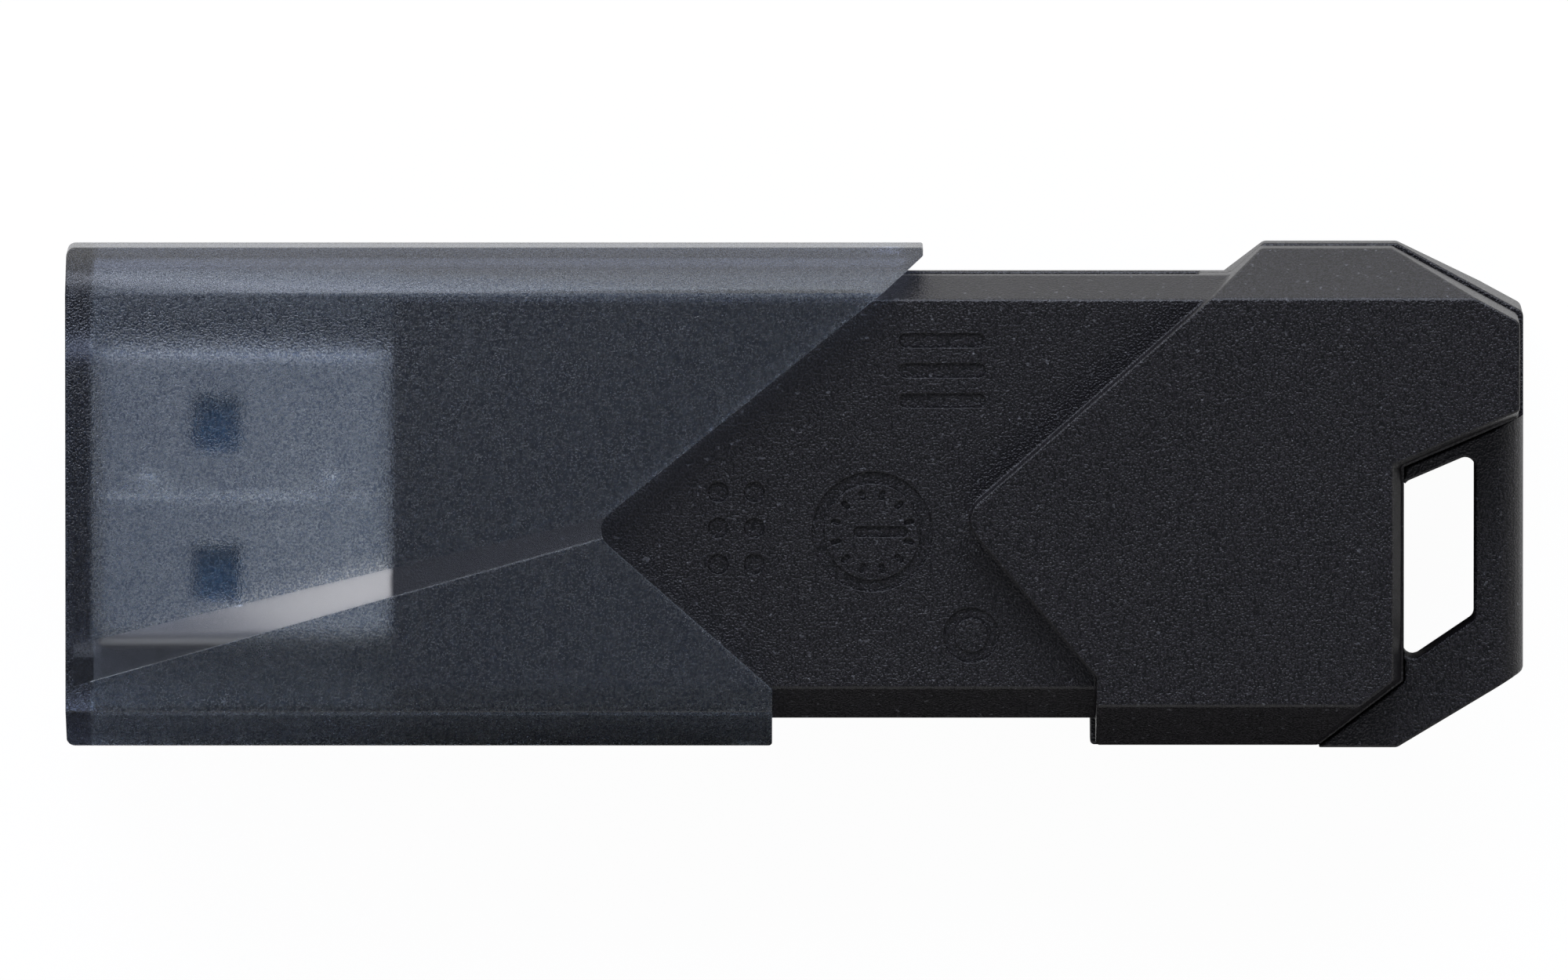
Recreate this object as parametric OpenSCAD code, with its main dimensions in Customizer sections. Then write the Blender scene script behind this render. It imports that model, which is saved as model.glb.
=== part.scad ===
// Memory stick with a sliding cap.
// The plug points to -X, the key loop to +X, and +Z is the back face with the raised panel.
// The origin is the middle of the outline, on the plane that the stick lies on.

/* [Overall] */
// Length from the cap's front to the end of the key loop
total_len = 60.5; // [59:0.5:66]
// Thickness of the cap and of the rear housing
body_t = 10.1; // [9.9:0.1:12]
// Width of the rear housing at the front shell, the widest place
body_w = 20.9; // [19.5:0.1:23]

/* [Cap] */
// How far the cap's sides lie inside the housing's sides
cap_inset = 0.08; // [0:0.02:0.3]
// Width that the cap's chamfers take from each side
chamfer_side = 1.67; // [1.3:0.01:1.9]
// Height that the chamfers of cap and housing take from each face
chamfer_drop = 3.45; // [3:0.05:3.8]
// Wall of the cap's two flat faces
cap_face_wall = 1.0; // [0.7:0.05:1.3]
// Wall of the cap's two sides
cap_side_wall = 0.85; // [0.6:0.05:1]
// Width that the chamfers inside the hollow take from each side
cavity_side = 1.02; // [0.9:0.01:1.1]
// Height of the chamfers inside the hollow
cavity_drop = 2.65; // [2.3:0.05:2.9]
// Wall at the cap's front
cap_front_wall = 1.15; // [0.8:0.05:1.6]
// Width of the blunt end of the long wing
wing_end_long = 0.31; // [0.25:0.01:1]
// Width of the blunt end of the short wing
wing_end_short = 2.56; // [1.8:0.02:3.4]
// Distance from the cap's front to the tip of the rear notch
notch_x = 21.7; // [20:0.1:22.5]
// Sideways place of the notch's tip
notch_y = -1.14; // [-1.6:0.02:-0.6]
// Angle of the notch's edge towards the long wing
notch_angle_long = 38.95; // [37:0.05:39.5]
// Angle of the notch's edge towards the short wing
notch_angle_short = 41.3; // [39:0.1:44]
// Radius of the notch's tip
notch_tip_r = 0.9; // [0.3:0.1:1.5]
// Radius of the cap's front corners, seen from above
cap_corner_r = 0.35; // [0.1:0.05:0.8]

/* [Cap facet] */
// Distance from the cap's -Y side to the facet's upper edge at the front
facet_high_in = 4.38; // [4:0.02:5]
// Angle of the facet's upper edge
facet_high_angle = 13.6; // [13:0.1:14.2]
// Distance from the cap's -Y side to the facet's lower edge at the front
facet_low_in = 2.63; // [2.2:0.01:3]
// Angle of the facet's lower edge
facet_low_angle = 15.75; // [15:0.05:16.4]
// Slope of the facet, down from its upper edge
facet_slope = 11; // [6:0.5:14]
// Bare rim between the cap's front and the facet
facet_start = 0.33; // [0.2:0.01:0.8]

/* [Slide] */
// Gap between the core and the cap's flat faces
slide_gap_z = 0.2; // [0.1:0.02:0.4]
// Gap between the core and the cap's sides
slide_gap_y = 0.3; // [0.15:0.05:0.5]
// Gap that is left at the cap's end stops
stop_gap = 0.05; // [0.02:0.01:0.15]
// Length of the nubs that run in the core's grooves
nub_len = 1.2; // [0.8:0.1:1.8]
// Height of the nubs
nub_h = 1.6; // [1:0.1:2]
// Reach of the nubs into the grooves
nub_reach = 0.25; // [0.1:0.05:0.3]
// Setback of the nub from the end of the long wing
nub_setback_long = 0.9; // [0.6:0.05:1.5]
// Setback of the nub from the end of the short wing
nub_setback_short = 0.35; // [0.2:0.05:0.8]
// Room beside, above and below a nub
groove_gap = 0.12; // [0.06:0.02:0.2]

/* [Core and housing] */
// Width that the core's chamfers take from the +Y side
core_side_high = 0.87; // [0.8:0.01:1.4]
// Width that the core's chamfers take from the -Y side
core_side_low = 1.42; // [0.9:0.01:1.6]
// Height of the core's chamfers
core_drop = 2.3; // [2:0.05:2.6]
// Wall of the core and housing
shell_wall = 0.9; // [0.75:0.05:1.1]
// Distance from the core's front to the tip of the housing's shoulder
shoulder_x = 23.54; // [22.9:0.1:25]
// Sideways place of the shoulder's tip
shoulder_y = -0.65; // [-1.2:0.05:0]
// Angle of the shoulder's long edge
shoulder_angle_long = 41.35; // [40:0.05:43]
// Angle of the shoulder's short edge
shoulder_angle_short = 49.6; // [48:0.1:51]
// Width of the shoulder's square end on the -Y side
shoulder_end = 3.43; // [2.4:0.01:4]
// Radius of the shoulder's tip
shoulder_tip_r = 1.0; // [0.3:0.1:1.6]
// How far the raised panel lies inside the front shell's sides
panel_inset_side = 0.1; // [0:0.02:0.3]
// How far the raised panel lies inside the front shell's ends
panel_inset_end = 0.22; // [0:0.02:0.4]
// Width that the housing's chamfers take from each side
housing_side = 1.88; // [1.4:0.02:2.1]
// Length of the rear end that the slanted corners take
corner_len = 5.25; // [4:0.05:6]
// Width that the slanted corner takes on the +Y side
corner_drop_high = 2.85; // [2:0.05:3.5]
// Width that the slanted corner takes on the -Y side
corner_drop_low = 3.15; // [2:0.05:3.5]
// Radius of the housing's outer corners, seen from above
housing_corner_r = 0.35; // [0.1:0.05:0.8]

/* [Key loop] */
// Depth of the loop's face below the raised panel, on the back and on the front
loop_drop = 3.5; // [3.5:0.05:3.8]
// Length of the loop along the middle, from the panel's rim to the rear end
loop_len = 5.46; // [5.2:0.02:5.8]
// Lean of the walls between the panel and the loop's face
pocket_draft = 6; // [3:0.5:7]
// Wall between the hole and the rear end
loop_rim = 2.03; // [1.7:0.01:2.3]
// Width of the hole along X
loop_hole_w = 2.95; // [2.6:0.05:3]
// Sideways place of the panel's corner beside the hole
step_y = 1.56; // [1:0.02:2]
// Distance from the -Y side to the panel's other corner
step_in = 3.0; // [2.4:0.01:3.6]
// Angle of the panel's edge beyond that corner
step_angle = 37.2; // [34:0.1:40]
// Distance from the panel's corner to the hole's upper corner
hole_step = 0.98; // [0.9:0.02:1.6]
// Distance from the -Y side to the hole's lower corner
hole_in = 3.36; // [3.2:0.01:4.2]
// Angle of the hole's upper edge
loop_angle_high = 23.2; // [20:0.1:26]
// Angle of the hole's lower edge
loop_angle_low = 34; // [33:0.1:38]
// Radius of the hole's corners
loop_hole_r = 0.4; // [0.2:0.05:0.8]
// Radius of the rounded outer rim of the loop
loop_round = 1.3; // [0.5:0.05:1.5]

/* [Plug] */
// Width of the plug's metal shell
plug_w = 12; // [11.9:0.05:12.1]
// Height of the plug's metal shell
plug_h = 4.5; // [4.4:0.05:4.6]
// Length of the plug outside the core
plug_out = 12.3; // [11.9:0.05:12.6]
// Sheet thickness of the plug's shell
plug_sheet = 0.3; // [0.25:0.01:0.35]
// Radius of the plug's bends
plug_bend_r = 0.6; // [0.45:0.05:0.9]
// Gap between the plug's tip and the cap's front wall
plug_recess = 0.1; // [0.02:0.02:0.3]
// Clearance round the plug in the cap's front opening
mouth_gap = 0.4; // [0.2:0.05:0.6]
// Clearance round the plug in the core's front wall
plug_seat_gap = 0.06; // [0.03:0.01:0.15]
// Length of the latch windows
window_len = 2; // [1.8:0.1:2.4]
// Width of the latch windows
window_w = 2.35; // [2:0.05:2.6]
// Distance from the plug's tip to the middle of the windows
window_x = 5; // [4.6:0.1:5.4]
// Spacing of the two windows, middle to middle
window_spacing = 6.12; // [5.6:0.02:6.6]
// Length of the shell behind the core's front
plug_in = 2.2; // [1.8:0.1:2.6]
// Length of the shell's two side arms
arm_len = 2.3; // [2:0.1:2.8]
// Length of the solder lugs
lug_len = 1; // [0.7:0.1:1.3]

/* [Contacts] */
// Setback of the tongue behind the shell's mouth
tongue_setback = 0.4; // [0.2:0.05:0.8]
// Sheet thickness of the contacts
contact_t = 0.2; // [0.12:0.02:0.24]
// Width of the four flat pads
pad_w = 1; // [0.8:0.05:1.1]
// Length of the four flat pads
pad_len = 6.4; // [5.5:0.1:7]
// Place of the inner pads, from the middle
pad_inner_y = 1; // [0.95:0.01:1.05]
// Place of the outer pads, from the middle
pad_outer_y = 3.5; // [3.4:0.01:3.6]
// Width of the stems behind the pads
stem_w = 0.45; // [0.35:0.05:0.5]
// Width of the five spring contacts
spring_w = 0.7; // [0.5:0.05:0.8]
// Spacing of the spring contacts
spring_pitch = 2; // [1.95:0.01:2.05]
// Distance from the plug's tip to the front of the springs
spring_x = 7.6; // [7.4:0.1:8]
// Height of the springs' bow above the tongue
spring_bow = 0.5; // [0.3:0.05:0.7]
// Clearance of the contacts in their slots
contact_gap = 0.04; // [0.02:0.01:0.06]

/* [Board] */
// Thickness of the circuit board
board_t = 0.8; // [0.6:0.1:1]
// Length of the board behind its rear pins
board_tail = 1.8; // [1.2:0.1:3]
// Gap between the board's sides and the shells
board_side_gap = 0.52; // [0.2:0.02:0.8]
// Height from the plug's contact face down to the board's top
board_drop = 0.65; // [0.5:0.05:0.8]
// Radius of the locating pins
pin_r = 0.8; // [0.6:0.05:1]
// Clearance round the locating pins
pin_gap = 0.04; // [0.02:0.01:0.1]
// Wall of the bosses round the pins
boss_wall = 0.7; // [0.5:0.05:0.8]
// Side of the controller chip
controller_w = 7; // [6:0.5:7.5]
// Height of the controller chip
controller_h = 0.9; // [0.7:0.05:1]
// Length of the flash chip's moulding
flash_len = 18.4; // [17:0.2:18.6]
// Width of the flash chip
flash_w = 12; // [11:0.2:12.4]
// Height of the flash chip's moulding
flash_h = 1; // [0.8:0.05:1]
// Room round the flash chip in the front shell's floor
chip_room = 0.2; // [0.1:0.05:0.3]

/* [Hidden] */

// Overlap that cuts and joins run past a face
over = 1;
mid_z = body_t / 2;
arc_steps = 6;
round_fn = 48;

// Places along X
front_x = -total_len / 2;
rear_x = total_len / 2;
cap_inner_x = front_x + cap_front_wall;
plug_tip_x = cap_inner_x + plug_recess;
core_x = plug_tip_x + plug_out;
travel = core_x - cap_inner_x - 2 * stop_gap;
cap_w = body_w - 2 * cap_inset;
notch_tip = [front_x + notch_x, notch_y];
cap_long_x = notch_tip[0] + (cap_w / 2 - wing_end_long - notch_y) / tan(notch_angle_long);
cap_short_x = notch_tip[0] + (cap_w / 2 - wing_end_short + notch_y) / tan(notch_angle_short);
shoulder_tip = [core_x + shoulder_x, shoulder_y];
panel_x = rear_x - loop_len;
hole_x = [rear_x - loop_rim - loop_hole_w, rear_x - loop_rim];
step_low_y = step_in - body_w / 2;

// Core, its hollow and the grooves for the nubs
core_z = cap_face_wall + slide_gap_z;
core_w = cap_w - 2 * (cap_side_wall + slide_gap_y);
inner_w = core_w - 2 * shell_wall;
inner_z = core_z + shell_wall;
core_high = core_w / 2 - core_side_high;
core_low = core_w / 2 - core_side_low;
inner_high = core_high - 0.7 * shell_wall;
inner_low = core_low - 0.7 * shell_wall;
inner_drop = 0.75 * core_drop;
groove_depth = nub_reach + groove_gap;
nub_long_x = cap_long_x - nub_setback_long;
nub_short_x = cap_short_x - nub_setback_short;
loop_z = body_t - loop_drop;
hole_lip = hole_x[0] - panel_x;
parting_gap = 0.04;

// Plug
plug_back_x = core_x + plug_in;
arm_end_x = plug_back_x + arm_len;
tongue_x = plug_tip_x + tongue_setback;
tongue_back_x = plug_back_x - 0.45;
tongue_w = plug_w - 2 * (plug_sheet + contact_gap);
tongue_top = mid_z + plug_h / 2 - plug_sheet - contact_gap;
tongue_r = plug_bend_r - plug_sheet + contact_gap;
spacer_len = 1.5;
spacer_back_x = tongue_back_x + contact_gap + spacer_len;
contact_top = mid_z + contact_t - 0.06;
contact_low = contact_top - contact_t;
foot_x = spacer_back_x + 0.25;
foot_len = 1.1;
seam_depth = 0.12;
seam_w = 0.08;

// Board and what it carries
board_top = mid_z - board_drop;
board_low = board_top - board_t;
board_x = plug_back_x + 0.2;
board_w = inner_w - 2 * board_side_gap;
lug_x = arm_end_x - lug_len;
lug_gap = 0.1;
pin_y = board_w / 2 - 1.8;
pin_front_x = board_x + 4.1;
pin_top = board_top + 2.4;
boss_r = pin_r + pin_gap + boss_wall;
flash_leg = 0.8;
flash_reach = flash_len / 2 + flash_leg + chip_room;
flash_x = pin_front_x + boss_r + flash_reach;
pin_rear_x = flash_x + flash_reach + boss_r;
pins = [for (x = [pin_front_x, pin_rear_x], side = [-1, 1]) [x, side * pin_y]];
board_end_x = pin_rear_x + board_tail;
rail_w = 0.7;
rail_y = board_w / 2 - rail_w;
rail_x = [pin_front_x + boss_r + 0.4, pin_rear_x - boss_r - 0.4];
controller_x = board_x + 10.4;

// Small parts, each as its length along X, its width and its height
capacitor = [0.5, 1, 0.5];
bulk_capacitor = [2, 1.25, 0.9];
resistor = [1, 0.5, 0.35];
line_filter = [1.2, 1.6, 0.6];
crystal_can = [3.2, 2.5, 0.75];
regulator = [2.9, 1.6, 1];
side_parts_x = controller_x + controller_w / 2 + 3;
filters_x = controller_x - controller_w / 2 - line_filter[0] - 0.4;

// ---------- Outlines ----------

function unit(v) = v / norm(v);

// Low and high end of a span about its middle
function span(middle, width) = [middle - width / 2, middle + width / 2];

// Arc that rounds the corner b between a and c
function corner(a, b, c, r) =
  r <= 0 ? [b] :
  let (
    u = unit(a - b),
    v = unit(c - b),
    half = acos(u * v) / 2,
    middle = b + unit(u + v) * r / sin(half),
    from = b + u * r / tan(half) - middle,
    to = b + v * r / tan(half) - middle,
    start = atan2(from[1], from[0]),
    turn = (atan2(to[1], to[0]) - start + 540) % 360 - 180
  )
  [for (i = [0:arc_steps]) middle + r * [cos(start + turn * i / arc_steps), sin(start + turn * i / arc_steps)]];

// Outline with a radius at each corner
function rounded(points, radii) =
  let (n = len(points))
  [for (i = [0:n - 1]) each corner(points[(i + n - 1) % n], points[i], points[(i + 1) % n], radii[i])];

// Eight-sided section, as Y and Z: flat faces with a chamfer down to each side
function section(side, low, high, drop, z) = [
  [-side, z + drop],
  [-low, z],
  [high, z],
  [side, z + drop],
  [side, body_t - z - drop],
  [high, body_t - z],
  [-low, body_t - z],
  [-side, body_t - z - drop]
];

// The panel's rim beside the key loop, from -Y to the rear end, moved out by a gap
function panel_step(gap) =
  let (side = body_w / 2 + over, end = rear_x + over, rise = tan(loop_angle_high), drop = gap / cos(loop_angle_high))
  [
    [panel_x - (side + step_low_y) / tan(step_angle) + gap / sin(step_angle), -side],
    [panel_x + gap, step_low_y + gap * tan(step_angle) - gap / cos(step_angle)],
    [panel_x + gap, step_y + gap * rise - drop],
    [end, step_y + (end - panel_x) * rise - drop]
  ];

module along_x(from, to) {
  translate([from, 0, 0]) rotate([90, 0, 90]) linear_extrude(to - from) children();
}

module along_y(from, to) {
  translate([0, to, 0]) rotate([90, 0, 0]) linear_extrude(to - from) children();
}

module between_z(from, to) {
  translate([0, 0, from]) linear_extrude(to - from) children();
}

module block(x, y, z) {
  translate([x[0], y[0], z[0]]) cube([x[1] - x[0], y[1] - y[0], z[1] - z[0]]);
}

// ---------- Cap ----------

// Outline from above, with the lopsided V that the rear is cut to
module cap_plan() {
  side = cap_w / 2;
  polygon(rounded(
    [[front_x, -side], [cap_short_x, -side], [cap_short_x, wing_end_short - side], notch_tip,
     [cap_long_x, side - wing_end_long], [cap_long_x, side], [front_x, side]],
    [cap_corner_r, 0.15, 0.2, notch_tip_r, 0.06, 0.1, cap_corner_r]
  ));
}

// Shallow slanted facet: it leaves the face at its upper edge and ends in a small wall
module cap_facet() {
  reach = notch_x + over;
  low_y = facet_low_in - cap_w / 2;
  high_y = facet_high_in - cap_w / 2;
  intersection() {
    translate([front_x, high_y, body_t])
      rotate([0, 0, facet_high_angle])
        rotate([facet_slope, 0, 0])
          translate([-over, -4, 0]) cube([reach + 2 * over, 4, 3]);
    between_z(body_t - cap_face_wall, body_t + over)
      polygon([
        [front_x + facet_start, low_y + facet_start * tan(facet_low_angle)],
        [front_x + reach, low_y + reach * tan(facet_low_angle)],
        [front_x + reach, high_y + reach * tan(facet_high_angle)],
        [front_x + facet_start, high_y + facet_start * tan(facet_high_angle)]
      ]);
  }
}

// Nub inside one side of the cap, with a slope towards the front for snapping on
module nub(x_rear, side) {
  wall_y = cap_w / 2 - cap_side_wall;
  tip_y = core_w / 2 - nub_reach;
  between_z(mid_z - nub_h / 2, mid_z + nub_h / 2)
    polygon([
      [x_rear - nub_len, side * (wall_y + 0.3)],
      [x_rear - nub_len, side * tip_y],
      [x_rear - 0.35 * nub_len, side * tip_y],
      [x_rear, side * (tip_y + 0.15)],
      [x_rear, side * (wall_y + 0.3)]
    ]);
}

module cap_sleeve() {
  cap_flat = cap_w / 2 - chamfer_side;
  cavity = cap_w / 2 - cap_side_wall;
  color([0.18, 0.21, 0.27, 0.75]) {
    difference() {
      intersection() {
        along_x(front_x, cap_long_x + over)
          polygon(section(cap_w / 2, cap_flat, cap_flat, chamfer_drop, 0));
        between_z(-over, body_t + over) cap_plan();
      }
      along_x(cap_inner_x, cap_long_x + 2 * over)
        polygon(section(cavity, cavity - cavity_side, cavity - cavity_side, cavity_drop, cap_face_wall));
      along_x(front_x - over, cap_inner_x + over) plug_outline(mouth_gap);
      cap_facet();
    }
    nub(nub_long_x, 1);
    nub(nub_short_x, -1);
  }
}

// ---------- Shells ----------

// Groove that a nub slides along, on one side of the core
module nub_groove(x_rear, side) {
  y = core_w / 2;
  block(
    [x_rear - nub_len - stop_gap, x_rear + travel + stop_gap],
    side > 0 ? [y - groove_depth, y + over] : [-y - over, -y + groove_depth],
    [mid_z - nub_h / 2 - groove_gap, mid_z + nub_h / 2 + groove_gap]
  );
}

module core_solid() {
  along_x(core_x, panel_x - 3)
    polygon(section(core_w / 2, core_low, core_high, core_drop, core_z));
}

// Rear housing's outline seen from above; inset draws the raised panel's
module housing_plan(inset_side, inset_end) {
  side = body_w / 2 - inset_side;
  end = rear_x - inset_end;
  square_y = shoulder_end - body_w / 2;
  square_x = shoulder_tip[0] + (shoulder_y - square_y) / tan(shoulder_angle_short);
  r = housing_corner_r;
  polygon(rounded(
    [[shoulder_tip[0] + (side - shoulder_y) / tan(shoulder_angle_long), side], shoulder_tip,
     [square_x + inset_end, square_y - inset_end * tan(shoulder_angle_short)], [square_x + inset_end, -side],
     [end - corner_len, -side], [end, corner_drop_low - side],
     [end, side - corner_drop_high], [end - corner_len, side]],
    [r, shoulder_tip_r, r / 2, r / 2, r, r, r, r]
  ));
}

module housing_section(inset_side) {
  side = body_w / 2 - inset_side;
  polygon(section(side, side - housing_side, side - housing_side, chamfer_drop, 0));
}

// Side of the plan that the raised panel covers
module panel_side(gap) {
  step = panel_step(gap);
  polygon(concat(step, [[rear_x + 2 * over, body_w], [core_x - over, body_w], [core_x - over, -body_w], [step[0][0], -body_w]]));
}

// Hollow of the two shells: the core's own, and a pocket beside the key loop
module shell_hollow() {
  wall = shell_wall + 0.35;
  pocket_y = step_y + wall + 0.4;
  intersection() {
    along_x(core_x + shell_wall, rear_x)
      polygon(section(inner_w / 2, inner_low, inner_high, inner_drop, inner_z));
    between_z(0, body_t)
      polygon([
        [core_x + shell_wall, -cap_w / 2],
        [panel_x - 3 - wall, -cap_w / 2],
        [panel_x - wall, 3 - inner_w / 2],
        [panel_x - wall, pocket_y],
        [rear_x - wall - 0.6, pocket_y + (loop_len - 0.6) * tan(loop_angle_high)],
        [rear_x - wall - 0.6, body_w / 2 - corner_drop_high - 0.6],
        [rear_x - corner_len, cap_w / 2],
        [core_x + shell_wall, cap_w / 2]
      ]);
  }
}

// Cross ribs that stiffen the empty rear of a shell
module rear_ribs(z) {
  for (x = [board_end_x + 1.6, panel_x - shell_wall - 2.2])
    block([x, x + 0.7], [-inner_w / 2 - 0.2, inner_w / 2 + 0.2], z);
}

module plug_outline(gap) {
  half_w = plug_w / 2 + gap;
  half_h = plug_h / 2 + gap;
  r = plug_bend_r + gap;
  translate([0, mid_z])
    polygon(rounded([[-half_w, -half_h], [half_w, -half_h], [half_w, half_h], [-half_w, half_h]], [r, r, r, r]));
}

module shell_cuts() {
  nub_groove(nub_long_x, 1);
  nub_groove(nub_short_x, -1);
  along_x(core_x - over, core_x + shell_wall + 0.01) plug_outline(plug_seat_gap);
}

module back_shell() {
  color([0.13, 0.13, 0.14]) {
    difference() {
      intersection() {
        union() {
          core_solid();
          intersection() {
            along_x(core_x, rear_x) housing_section(panel_inset_side);
            between_z(mid_z, body_t + over) housing_plan(panel_inset_side, panel_inset_end);
          }
        }
        between_z(mid_z, body_t + over) panel_side(hole_lip);
      }
      loop_pocket();
      difference() {
        shell_hollow();
        back_shell_inside();
      }
      shell_cuts();
      for (p = pins)
        translate([p[0], p[1], mid_z - 2]) cylinder(r = pin_r + pin_gap, h = pin_top + 0.15 - mid_z + 2, $fn = round_fn);
    }
    back_shell_bosses();
  }
}

// Ribs that stay standing inside the back shell, above the parting plane
module back_shell_inside() {
  z = [mid_z - over, body_t];
  rear_ribs([mid_z + 0.6, body_t]);
  for (side = [-1, 1])
    block(rail_x, side > 0 ? [rail_y, rail_y + rail_w] : [-rail_y - rail_w, -rail_y], z);
}

// Feet of the back shell that reach below the parting plane and hold the board down
module back_shell_bosses() {
  foot = board_top + pin_gap;
  for (p = pins)
    translate([p[0], p[1], foot])
      difference() {
        cylinder(r = boss_r, h = body_t - inner_z - foot + 0.2, $fn = round_fn);
        translate([0, 0, -over]) cylinder(r = pin_r + pin_gap, h = pin_top + 0.15 - foot + over, $fn = round_fn);
      }
  for (side = [-1, 1])
    block(rail_x, side > 0 ? [rail_y, rail_y + rail_w] : [-rail_y - rail_w, -rail_y], [foot, mid_z + 0.1]);
}

module loop_hole() {
  low_y = hole_in - body_w / 2;
  high_y = step_y - hole_step;
  low = [low_y, low_y + loop_hole_w * tan(loop_angle_low)];
  high = [high_y, high_y + loop_hole_w * tan(loop_angle_high)];
  r = loop_hole_r;
  between_z(-over, body_t + over)
    polygon(rounded([[hole_x[0], low[0]], [hole_x[1], low[1]], [hole_x[1], high[1]], [hole_x[0], high[0]]], [r, r, r, r]));
}

// Everything on the loop's side of a leaning wall through a point of the panel's rim
module beyond(place, turn) {
  translate([place[0], place[1], body_t])
    rotate([0, 0, turn])
      rotate([0, -pocket_draft, 0])
        translate([0, -total_len, -body_t]) cube([total_len, 2 * total_len, 2 * body_t]);
}

// Pocket above the loop, cut from the back down to the loop's face
module loop_pocket() {
  intersection() {
    union() {
      beyond([panel_x, step_low_y], 0);
      beyond([panel_x, step_low_y], step_angle - 90);
    }
    beyond([panel_x, step_y], loop_angle_high - 90);
    between_z(loop_z, body_t + over) square(2 * total_len, center = true);
  }
}

// Side view of the loop with its rounded rim
module loop_profile() {
  polygon(rounded(
    [[core_x - over, body_t - loop_z], [rear_x, body_t - loop_z], [rear_x, loop_z], [core_x - over, loop_z]],
    [0, loop_round, loop_round, 0]
  ));
}

module front_shell() {
  color([0.12, 0.12, 0.13]) {
    difference() {
      union() {
        intersection() {
          core_solid();
          between_z(0, mid_z) square(2 * total_len, center = true);
        }
        intersection() {
          along_x(core_x, rear_x) housing_section(0);
          between_z(-over, mid_z)
            intersection() {
              housing_plan(0, 0);
              panel_side(hole_lip);
            }
        }
        intersection() {
          along_y(-body_w, body_w) loop_profile();
          union() {
            between_z(0, mid_z) housing_plan(0, 0);
            between_z(mid_z - over, loop_z + over) loop_plan();
          }
        }
      }
      difference() {
        shell_hollow();
        front_shell_inside();
      }
      shell_cuts();
      translate([0, 0, body_t]) mirror([0, 0, 1]) loop_pocket();
      loop_hole();
      chip_pocket();
    }
    for (p = pins)
      translate([p[0], p[1], inner_z - 0.2]) {
        cylinder(r = boss_r, h = board_low - inner_z + 0.2, $fn = round_fn);
        cylinder(r = pin_r, h = pin_top - inner_z + 0.2, $fn = round_fn);
      }
  }
}

// Recess in the floor under the flash chip
module chip_pocket() {
  half_w = flash_w / 2 + chip_room;
  block([flash_x - flash_reach, flash_x + flash_reach], [-half_w, half_w], [board_low - flash_h - 0.1 - chip_room, mid_z]);
}

// What the back shell leaves free of the housing's outline for the loop
module loop_plan() {
  difference() {
    housing_plan(0, 0);
    panel_side(hole_lip + parting_gap);
  }
}

// Ribs inside the front shell: rails under the board and the rear stiffeners
module front_shell_inside() {
  rear_ribs([0, mid_z - 0.6]);
  for (side = [-1, 1])
    block(rail_x, side > 0 ? [rail_y, rail_y + rail_w] : [-rail_y - rail_w, -rail_y], [0, board_low]);
}

// ---------- Plug ----------

// Rounded dovetails of the seam in the plug's rolled sheet
module plug_seam() {
  z = [mid_z + plug_h / 2 - seam_depth, mid_z + plug_h / 2 + over];
  block([plug_tip_x - over, plug_back_x + over], [-seam_w / 2, seam_w / 2], z);
  for (x = [plug_tip_x + 2.2, plug_tip_x + 9.8])
    translate([x, 0, z[0]])
      difference() {
        cylinder(r = 0.9, h = over, $fn = round_fn);
        translate([0, 0, -over]) cylinder(r = 0.9 - seam_w, h = 3 * over, $fn = round_fn);
        translate([-over, -2, -over]) cube([2 * over, 2, 3 * over]);
      }
}

// Lead-in slope round the plug's mouth
module plug_mouth_slope(half, flat) {
  slope = 0.18;
  polygon([
    [plug_tip_x, -half + slope], [plug_tip_x + 2 * slope, -half - 0.01], [flat, -half - 0.01],
    [flat, half + 0.01], [plug_tip_x + 2 * slope, half + 0.01], [plug_tip_x, half - slope]
  ]);
}

module plug_shell() {
  color([0.78, 0.79, 0.8]) {
    difference() {
      intersection() {
        along_x(plug_tip_x, plug_back_x) plug_outline(0);
        between_z(0, body_t) plug_mouth_slope(plug_w / 2, plug_back_x);
        along_y(-plug_w, plug_w) translate([0, mid_z]) plug_mouth_slope(plug_h / 2, plug_back_x);
      }
      along_x(plug_tip_x - over, plug_back_x + over) plug_outline(-plug_sheet);
      for (side = [-1, 1])
        translate([plug_tip_x + window_x, side * window_spacing / 2, mid_z])
          cube([window_len, window_w, plug_h + 2 * over], center = true);
      plug_seam();
    }
    for (side = [-1, 1]) {
      y = side > 0 ? [plug_w / 2 - plug_sheet, plug_w / 2] : [-plug_w / 2, plug_sheet - plug_w / 2];
      block([plug_back_x - 0.3, arm_end_x], y, [board_top + contact_gap, mid_z + plug_h / 2 - plug_bend_r]);
      block([lug_x, arm_end_x - lug_gap], y, [board_low - 0.3, board_top + 0.2]);
    }
  }
}

// Every contact's run through tongue and spacer, as [centre, width]
function runs() = concat(
  [for (y = [-1, 1]) [y * pad_inner_y, stem_w]],
  [for (y = [-1, 1]) [y * outer_stem_y(), stem_w]],
  [for (i = [-2:2]) [i * spring_pitch, spring_w]]
);

// The outer stems pass halfway between two springs
function outer_stem_y() = 1.5 * spring_pitch;

module tongue_slots() {
  top = contact_top + contact_gap;
  for (run = runs())
    block([plug_tip_x + pad_len, spacer_back_x + over], span(run[0], run[1] + 2 * contact_gap), [mid_z - over, top]);
  for (y = [-pad_outer_y, -pad_inner_y, pad_inner_y, pad_outer_y])
    block([tongue_x - over, tongue_x + pad_len + 0.8 + contact_gap], span(y, pad_w + 2 * contact_gap), [mid_z - over, top]);
}

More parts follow.
